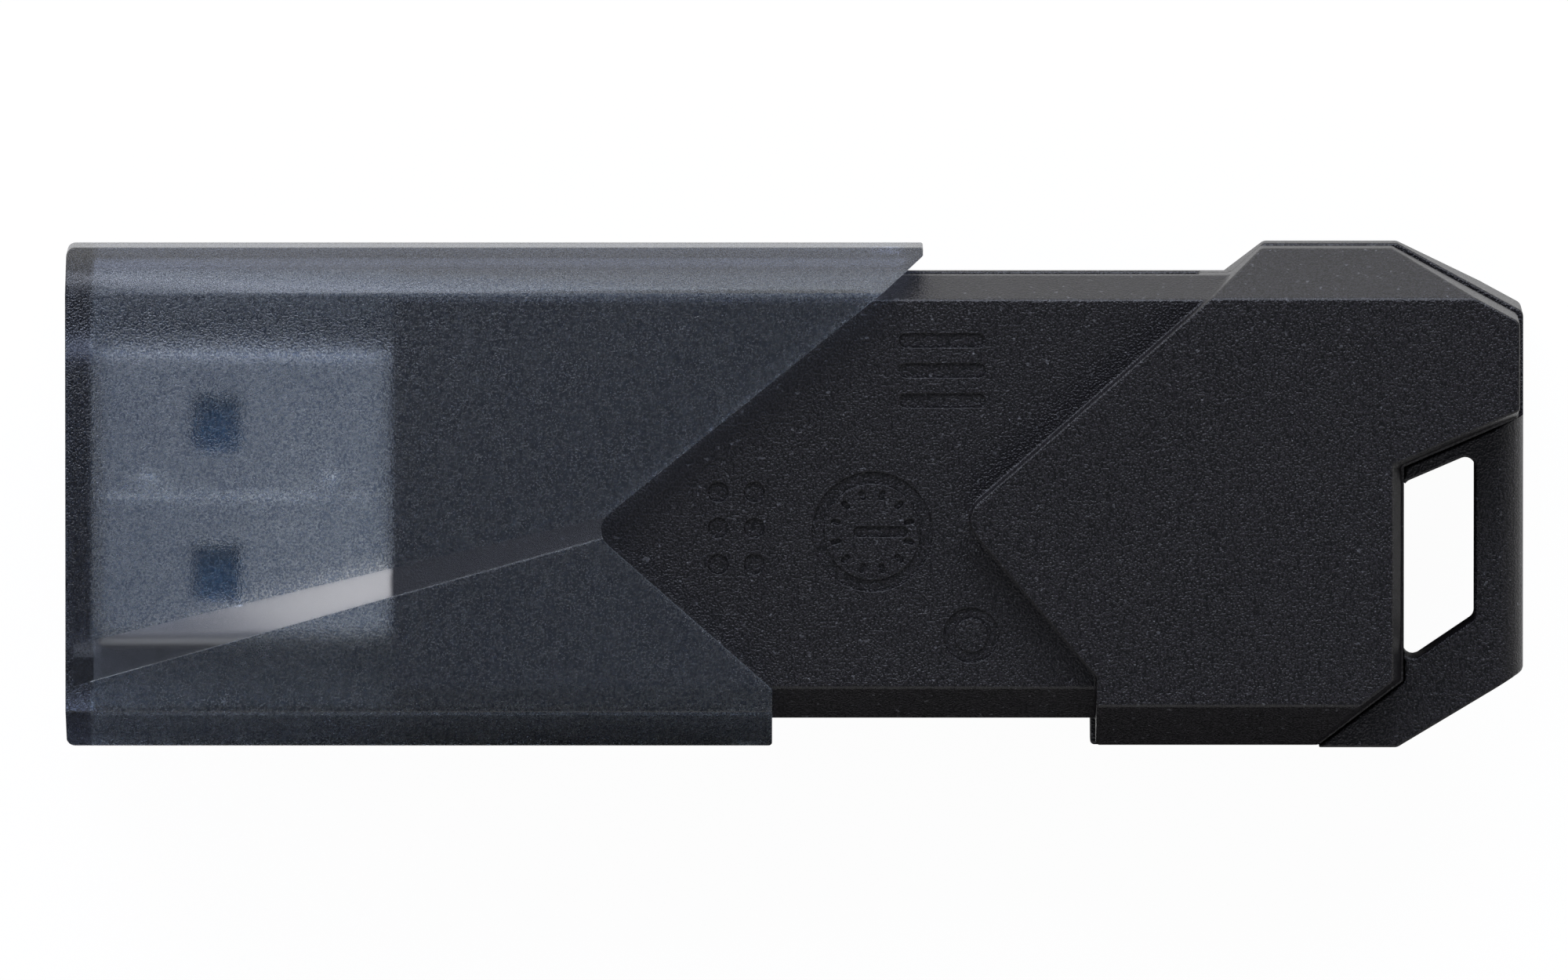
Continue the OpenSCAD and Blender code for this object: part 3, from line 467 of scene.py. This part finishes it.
def round_edges(obj, radius, segments=3, angle=19, keep=lambda middle: True):
    """Bevels the edges sharper than angle, in degrees, whose middle, in mm, passes keep."""
    mesh = in_edit(obj)
    layers = mesh.edges.layers.float
    weight = layers.get("bevel_weight_edge") or layers.new("bevel_weight_edge")
    picked = 0
    for edge in mesh.edges:
        edge[weight] = 0.0
        if len(edge.link_faces) == 2 and edge.calc_face_angle(0) > math.radians(angle):
            if keep((edge.verts[0].co + edge.verts[1].co) / 2 / MM):
                edge[weight] = 1.0
                picked += 1
    bmesh.update_edit_mesh(obj.data)
    bpy.ops.object.mode_set(mode="OBJECT")
    apply(obj, "BEVEL", width=radius, segments=segments, limit_method="WEIGHT",
          use_clamp_overlap=False)
    return picked


def settle(obj, node, body, slot):
    """Smooths obj, keeps its flat faces flat, and lets it stand in for the CAD node."""
    mesh = in_edit(obj)
    for edge in mesh.edges:
        if len({face.material_index for face in edge.link_faces}) > 1:
            edge.smooth = False
    bmesh.update_edit_mesh(obj.data)
    bpy.ops.object.mode_set(mode="OBJECT")
    bpy.ops.object.shade_smooth_by_angle(angle=SMOOTH)
    apply(obj, "WEIGHTED_NORMAL", keep_sharp=True)
    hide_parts(node)
    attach(obj, body)
    mesh = bmesh.new()
    mesh.from_mesh(obj.data)
    loose = sum(not edge.is_manifold for edge in mesh.edges)
    volume = mesh.calc_volume() / MM ** 3
    print(f"{obj.name}: {len(obj.data.polygons)} faces, {loose} open edges, {volume:.1f} mm3")
    mesh.free()


print("helpers:", copy_of.__name__, round_edges.__name__, settle.__name__)

# %% [markdown]
# ## The cap
# The cap keeps the CAD shape. Its outer edges get a small radius, the polished facet keeps crisp
# borders as it has in the photograph, and its faces are told apart by their place: the facet is
# the only face that leans a little in the top millimetre, and the inside is what the hollow cut.
# All places in this cell are in mm.

# %% Cap
CAP_EDGE = 0.07
CAP_HALF_WIDTH = 10.37
# The facet's two borders: where each starts at the front, counted from the cap's lower side, and
# the angle at which it climbs towards the notch
FACET_LOW, FACET_LOW_CLIMB = 2.63, math.radians(15.75)
FACET_HIGH, FACET_HIGH_CLIMB = 4.38, math.radians(13.6)
FACET_SIDEWAYS = (-8.2, -0.9)  # from its front end to its end at the notch
FACET_DEPTH = 1.05
FACET_LEAN = (0.15, 0.5)  # the sideways part of its normal
FACET_MARGIN = 0.12  # what is this near a border still counts as the facet's
FACET_SMALL = 12  # area in mm2 below which a leaning face there is a border's
HOLLOW_SIDE, HOLLOW_FLOOR, HOLLOW_ROOF = 9.6, 0.9, 9.2
GRAINED, POLISHED, INSIDE = 0, 1, 2

cap = copy_of("cap_sleeve", "sliding_cap")
for material in (cap_grained, cap_polished, cap_inside):
    cap.data.materials.append(material)
cap_low, cap_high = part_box("cap_sleeve")
cap_front, cap_top = cap_low.x / MM, cap_high.z / MM


def facet_low(middle):
    """Sideways place of the facet's lower border."""
    return FACET_LOW - CAP_HALF_WIDTH + (middle.x - cap_front) * math.tan(FACET_LOW_CLIMB)


def facet_high(middle):
    """Sideways place of the facet's upper border."""
    return FACET_HIGH - CAP_HALF_WIDTH + (middle.x - cap_front) * math.tan(FACET_HIGH_CLIMB)


def in_facet(middle):
    """True between the facet's borders and its ends, looked at from above."""
    low, high = facet_low(middle) - FACET_MARGIN, facet_high(middle) + FACET_MARGIN
    return low < middle.y < high and FACET_SIDEWAYS[0] < middle.y < FACET_SIDEWAYS[1]


def is_polished(middle, normal, area):
    """True for the facet's own face and for the small leaning ones along its borders."""
    leans = FACET_LEAN[0] < abs(normal.y) < FACET_LEAN[1]
    small = area < FACET_SMALL and normal.z < 0.9 and cap_front + 0.2 < middle.x < cap_front + 22
    return middle.z > cap_top - FACET_DEPTH and in_facet(middle) and (leans or small)


def is_inside(middle, normal):
    """True for the long walls that the hollow cut; the wall at the front isn't one of them."""
    return (middle.x > cap_front + 1.0 and abs(middle.y) < HOLLOW_SIDE
            and HOLLOW_FLOOR < middle.z < HOLLOW_ROOF and abs(normal.x) < 0.5)


mesh = in_edit(cap)
for face in mesh.faces:
    middle = face.calc_center_median() / MM
    if is_polished(middle, face.normal, face.calc_area() / MM ** 2):
        face.material_index = POLISHED
    elif is_inside(middle, face.normal):
        face.material_index = INSIDE
    else:
        face.material_index = GRAINED
bmesh.update_edit_mesh(cap.data)
bpy.ops.object.mode_set(mode="OBJECT")


def off_facet(middle):
    """True away from the facet and the crossing edges at its ends."""
    return not (cap_top - FACET_DEPTH < middle.z < cap_top + 0.01 and in_facet(middle))


def to_round(middle):
    """True for the skin's edges, but not for the ridge of the lit chamfer, which stays crisp."""
    near_top = middle.z > cap_top - 0.3
    skin = abs(middle.y) > 9.5 or middle.z < 0.3 or near_top or middle.x < cap_front + 0.1
    ridge = middle.y > 8.5 and near_top and cap_front + 0.5 < middle.x < 4
    low_border = middle.z > cap_top - 0.01 and abs(middle.y - facet_low(middle)) < 0.05
    return low_border or off_facet(middle) and skin and not ridge


print("cap edges rounded:", round_edges(cap, CAP_EDGE * MM, keep=to_round))
settle(cap, "cap_sleeve", "cap", "cap_plastic")

# %% [markdown]
# ## The shells
# The back shell's core is where a maker would mould its marks. This part carries none, so plain
# moulding marks take their place: a ring with ticks as on a mould's dial, a smaller ring, six
# small pockets, and three bars. They say nothing. `under` places them on the core's face, and a
# Boolean carves them a tenth of a millimetre deep.

# %% Shells
SHELL_EDGE = 0.12 * MM

back = copy_of("back_shell", "back_cover")
back.data.materials.append(black_plastic)
print("back shell edges rounded:", round_edges(back, SHELL_EDGE))
front = copy_of("front_shell", "front_case")
front.data.materials.append(black_plastic)


def off_rim_end(middle):
    """False where the loop's rounded rim runs out into the flat end wall."""
    return not (middle.x > 29.2 and 3.0 < middle.y < 4.3 and 3.3 < middle.z < 6.8)


print("front shell edges rounded:", round_edges(front, SHELL_EDGE, keep=off_rim_end))

# %% Plain moulding marks
CORE_FACE = 8.9 * MM
MARK_DEPTH = 0.11 * MM
MARK_RIM = 0.035 * MM
MARKS_ALONG, MARKS_SIDEWAYS = (-4.5, 9.0), 7.3  # the part of the core's face that holds them, in mm
# Where the middles of the dial, the small ring, the bars and the pockets show in the frame. The
# choice is free: the photograph's own marks are left out, so these have no point to keep to
MARK_PIXELS = ((872.3, 531.9), (971.2, 635.3), (942.3, 370.7), (736.1, 528.3))


def raise_to_cutter(obj):
    """Extrudes a flat outline at the marks' floor up past the core's face."""
    only(obj)
    bpy.ops.object.mode_set(mode="EDIT")
    bpy.ops.mesh.select_all(action="SELECT")
    bpy.ops.mesh.extrude_region_move(TRANSFORM_OT_translate={"value": (0, 0, 4 * MARK_DEPTH)})
    bpy.ops.mesh.select_all(action="SELECT")
    bpy.ops.mesh.normals_make_consistent(inside=False)
    bpy.ops.object.mode_set(mode="OBJECT")
    return obj


def bar(x, y, length, width, turn=0.0):
    """Cutter for a bar with round ends, its length along X before the turn; mm and degrees."""
    bpy.ops.object.select_all(action="DESELECT")
    bpy.ops.mesh.primitive_plane_add(size=1, location=(x * MM, y * MM, CORE_FACE - MARK_DEPTH),
                                     rotation=(0, 0, math.radians(turn)))
    obj = bpy.context.object
    obj.scale = (length * MM, width * MM, 1)
    bpy.ops.object.transform_apply(location=True, rotation=True, scale=True)
    bpy.ops.object.mode_set(mode="EDIT")
    bpy.ops.mesh.select_all(action="SELECT")
    bpy.ops.mesh.bevel(offset=0.49 * min(length, width) * MM, segments=6, affect="VERTICES")
    bpy.ops.object.mode_set(mode="OBJECT")
    return raise_to_cutter(obj)


def ring(x, y, outer, inner):
    """Cutter for a ring of two radii in mm."""
    bpy.ops.object.select_all(action="DESELECT")
    bpy.ops.mesh.primitive_circle_add(vertices=64, radius=outer * MM, fill_type="NGON",
                                      location=(x * MM, y * MM, CORE_FACE - MARK_DEPTH))
    obj = bpy.context.object
    bpy.ops.object.transform_apply(location=True, rotation=True, scale=True)
    bpy.ops.object.mode_set(mode="EDIT")
    bpy.ops.mesh.select_all(action="SELECT")
    bpy.ops.mesh.inset(thickness=(outer - inner) * MM)
    bpy.ops.mesh.delete(type="FACE")
    bpy.ops.object.mode_set(mode="OBJECT")
    return raise_to_cutter(obj)


def dial(x, y, radius, ticks):
    """Ring with ticks inside it and a short hand, as a mould's dial has."""
    parts = [ring(x, y, radius, radius - 0.5), bar(x + 0.35, y, 0.9 * radius, 0.45)]
    ticks_at = radius - 0.93
    for i in range(ticks):
        a = 2 * math.pi * (i + 0.5) / ticks
        along, sideways = x + ticks_at * math.cos(a), y + ticks_at * math.sin(a)
        parts.append(bar(along, sideways, 0.42, 0.22, math.degrees(a)))
    return parts


core_tree = BVHTree.FromObject(back, bpy.context.evaluated_depsgraph_get())
dial_at, ring_at, bars_at, pockets_at = (under(*pixel, core_tree) / MM for pixel in MARK_PIXELS)
cutters = dial(dial_at.x, dial_at.y, 2.5, 12) + [ring(ring_at.x, ring_at.y, 1.15, 0.7)]
cutters += [bar(bars_at.x, bars_at.y + 1.25 * i, 3.6, 0.6) for i in (-1, 0, 1)]
cutters += [bar(pockets_at.x + 1.5 * i, pockets_at.y + 1.5 * j, 0.85, 0.85)
            for i in (-0.5, 0.5) for j in (-1, 0, 1)]
print("marks at, in mm:", [[round(c, 2) for c in middle]
                           for middle in (dial_at, ring_at, bars_at, pockets_at)])
bpy.ops.object.select_all(action="DESELECT")
for cutter in cutters:
    cutter.select_set(True)
bpy.context.view_layer.objects.active = cutters[0]
bpy.ops.object.join()
marks = bpy.context.object
apply(back, "BOOLEAN", operation="DIFFERENCE", object=marks, solver="EXACT")
bpy.data.objects.remove(marks)


def mark_rim(edge):
    """True for the sharp upper edges of the marks."""
    level = all(abs(v.co.z - CORE_FACE) < 1e-7 for v in edge.verts)
    among = all(MARKS_ALONG[0] < v.co.x / MM < MARKS_ALONG[1] and abs(v.co.y / MM) < MARKS_SIDEWAYS
                for v in edge.verts)
    return level and among and len(edge.link_faces) == 2 and edge.calc_face_angle(0) > 1.2


mesh = in_edit(back)
rims = [edge for edge in mesh.edges if mark_rim(edge)]
for edge in rims:
    edge.select = True
bmesh.update_edit_mesh(back.data)
bpy.ops.mesh.bevel(offset=MARK_RIM, segments=2)
bpy.ops.object.mode_set(mode="OBJECT")
print("marks:", len(rims), "rim edges rounded")
settle(back, "back_shell", "drive", "shell_plastic")
settle(front, "front_shell", "drive", "shell_plastic")

# %% [markdown]
# ## The plug and what is inside it
# The plug's shell is a bent sheet, so its edges are only just rounded. The tongue gets soft
# moulded edges. The contacts, the board and its parts keep their CAD meshes and only take
# a finish.

# %% Plug and tongue
PLUG_EDGE = 0.05 * MM

plug = copy_of("plug_shell", "plug_case")
plug.data.materials.append(plug_steel)
print("plug edges rounded:", round_edges(plug, PLUG_EDGE, 2, 40))
settle(plug, "plug_shell", "drive", "plug_steel")
tongue = copy_of("plug_tongue", "contact_tongue")
tongue.data.materials.append(tongue_blue)
print("tongue edges rounded:", round_edges(tongue, PLUG_EDGE, 2, 40))
settle(tongue, "plug_tongue", "drive", "tongue_plastic")

# %% Finishes of the CAD nodes that stay
FINISHES = {
    "plug_spacer": spacer_black, "circuit_board": board_green, "controller_chip": chip_epoxy,
    "flash_chip": chip_epoxy, "crystal": can_metal, "voltage_regulator": chip_epoxy,
    "line_filters": ceramic_dark, "capacitors": ceramic_tan, "resistors": ceramic_dark,
}
finished = [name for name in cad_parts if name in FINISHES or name.startswith(("pad_", "spring_"))]
for name in finished:
    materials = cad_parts[name].data.materials
    materials.clear()
    materials.append(FINISHES.get(name, contact_gold))
print("nodes finished:", len(finished))

# %% [markdown]
# ## Floor, cards and light
# The stick lies on a pale floor under one large soft lamp on its upper side in the picture, with
# a weak lamp opposite and a small one above. The floor looks white where it is seen directly,
# mirrored or through the cap, but it throws no more light on the stick than paper does. The steep
# chamfers mirror the floor beside them: pale on the lit side, and nearly black on the other, where
# a dark card paints shade into what they mirror. There are four such dark cards here, each a
# painted shade, and the camera sees none of them directly. The one at the side and the one below
# the loop's hole paint shade that shows only in reflections. The one below the cap and the one
# before its front paint shadow that shows only through the cap, and keep its hollow dark.

# %% Floor
FLOOR_GAP = 0.00003  # how far the floor lies below the stick, in metres; the cards lie between
FLOOR_GLOW, FLOOR_GLOW_SHARE = 1.02, 0.95


def straight_rays(tree):
    """1 for what is seen directly, mirrored or through the cap, and 0 for light on other things."""
    kinds = ("Camera", "Glossy", "Transmission")
    rays = [Wire(tree).node("ShaderNodeLightPath", output=f"Is {kind} Ray") for kind in kinds]
    return (rays[0] + rays[1] + rays[2]).between(0, 1)


def stage_plane(name, size_x, size_y, location):
    """A flat rectangle of the stage."""
    bpy.ops.object.select_all(action="DESELECT")
    bpy.ops.mesh.primitive_plane_add(size=1, location=location)
    obj = bpy.context.object
    obj.name = name
    obj.scale = (size_x, size_y, 1)
    bpy.ops.object.transform_apply(location=True, rotation=True, scale=True)
    obj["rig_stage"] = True
    return obj


floor = stage_plane("floor", 12, 12, (0, 0, cad_box[0].z - FLOOR_GAP))
paper, shader, place = finish("floor_paper", Roughness=0.9, Specular_IOR_Level=0.1)
feed(shader, Base_Color=place.noise(0.02, 2.0).mixed((0.86, 0.86, 0.86), (0.88, 0.88, 0.88)))
tree = paper.node_tree
share = straight_rays(tree) * FLOOR_GLOW_SHARE
glow = Wire(tree).node("ShaderNodeEmission", {}, {"Color": (1, 1, 1, 1), "Strength": FLOOR_GLOW})
matt = Wire(tree, shader.outputs[0])
lifted = Wire(tree).node("ShaderNodeMixShader", {}, {0: share, 1: matt, 2: glow})
output = next(n for n in tree.nodes if n.type == "OUTPUT_MATERIAL")
tree.links.new(lifted.socket, output.inputs["Surface"])
floor.data.materials.append(paper)
print("floor:", floor.name, "with", paper.name)

# %% Dark cards
# How far below the stick the cards lie, in metres
SIDE_CARD_GAP, UNDER_CARD_GAP = 0.00001, 0.00002


def shade_card(name, size_x, size_y, location, glossy, through):
    """A dark card of painted shade that shows only in reflections or only through the cap."""
    card = stage_plane(name, size_x, size_y, location)
    card.visible_camera = card.visible_diffuse = card.visible_shadow = False
    card.visible_glossy, card.visible_transmission = glossy, through
    material, shader, place = finish(name, Roughness=0.9, Specular_IOR_Level=0.0)
    feed(shader, Base_Color=place.noise(0.01).mixed((0.022, 0.02, 0.02), (0.032, 0.03, 0.03)))
    card.data.materials.append(material)
    return card


# Painted shade beside the stick, seen only in the chamfers' reflections
side_shade_card = shade_card("side_shade_card", 0.4, 0.05,
                      (0, -0.0365, cad_box[0].z - SIDE_CARD_GAP), True, False)
# Painted shadow under the cap, seen only through it
under_shadow_card = shade_card("under_shadow_card", 0.16, 0.0686,
                       (-0.01, -0.0257, cad_box[0].z - UNDER_CARD_GAP), False, True)
# Painted shade below the loop's hole, seen only in reflections of the hole's walls
loop_shade_card = shade_card("loop_shade_card", 0.0057, 0.011,
                      (0.02635, -0.001, cad_box[0].z - UNDER_CARD_GAP), True, False)
# Painted shade before the cap's front, seen only through its front wall
end_shade_card = shade_card("end_shade_card", 0.04, 0.06, (cad_box[0].x - 0.002, 0, 0.01), False, True)
end_shade_card.rotation_euler = (0, math.radians(90), 0)
print("cards:", side_shade_card.name, under_shadow_card.name, loop_shade_card.name, end_shade_card.name)

# %% Lamps and surroundings
AIM = Vector((0, 0, 0.005))
# The room's brightness from a little below the horizon to nearly overhead
ROOM = [(0.0, (0.95, 0.95, 0.95)), (0.35, (0.5, 0.5, 0.52)), (1.0, (0.076, 0.088, 0.122))]
ROOM_HEIGHTS = (-0.05, 0.9)


def soft_lamp(name, location, size_x, size_y, watts, colour=(1, 1, 1)):
    """A rectangular lamp that faces the stick."""
    bpy.ops.object.light_add(type="AREA", location=location)
    lamp = bpy.context.object
    lamp.name = name
    lamp.data.shape = "RECTANGLE"
    lamp.data.size, lamp.data.size_y = size_x, size_y
    lamp.data.energy = watts
    lamp.data.color = colour
    lamp.rotation_euler = (AIM - Vector(location)).to_track_quat("-Z", "Y").to_euler()
    return lamp


key = soft_lamp("key_softbox", (-0.05, 0.62, 0.34), 1.0, 0.4, 7.6, (0.9, 0.96, 1.14))
fill = soft_lamp("fill_softbox", (0.1, -0.6, 0.55), 0.6, 0.4, 1.0)
strip = soft_lamp("top_strip", (0.045, 0.032, 0.6), 0.15, 0.13, 0.033)

world = bpy.data.worlds.new("studio")
scene.world = world
world.use_nodes = True
tree = world.node_tree
tree.nodes.clear()
towards = Wire(tree).node("ShaderNodeTexCoord", output="Generated")
up = Wire(tree).node("ShaderNodeSeparateXYZ", {}, {0: towards}, 2)
room = towards.node("ShaderNodeValToRGB", {"stops": ROOM}, {0: up.between(*ROOM_HEIGHTS)})
light = Wire(tree).node("ShaderNodeBackground", {}, {"Color": room, "Strength": 1.0})
white = Wire(tree).node("ShaderNodeBackground", {}, {"Color": (1, 1, 1, 1), "Strength": 1.0})
seen = Wire(tree).node("ShaderNodeLightPath", output="Is Camera Ray")
both = Wire(tree).node("ShaderNodeMixShader", {}, {0: seen, 1: light, 2: white})
output = tree.nodes.new("ShaderNodeOutputWorld")
tree.links.new(both.socket, output.inputs["Surface"])
scene.view_settings.view_transform = "Standard"
print("lamps:", key.name, fill.name, strip.name, "in the room:", world.name)

# %% [markdown]
# ## Measuring
# The script ends by measuring itself: how far each named thing shows from its point in the photograph.

# %% Points
def ends(piece, box):
    """Pixels of the finished vertices of a piece, or of all, that lie in a box given in mm."""
    chosen = [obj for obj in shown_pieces() if not piece or obj.name == piece]
    found = [seen_at(v.co) for obj in chosen for v in obj.data.vertices
             if all(box[0][i] <= v.co[i] / MM <= box[1][i] for i in range(3))]
    return [p[0] for p in found], [p[1] for p in found]


def off(values, end, point):
    """How far one end of the values, or their middle, is from a point's number."""
    if end == "-" or not values:
        return None
    value = {"min": min(values), "max": max(values), "mid": (min(values) + max(values)) / 2}[end]
    return round(value - point, 1)


for name, piece, box, end_x, end_y, x, y in POINTS:
    xs, ys = ends(piece, box)
    {"x": off(xs, end_x, x), "y": off(ys, end_y, y), "found": len(xs)}
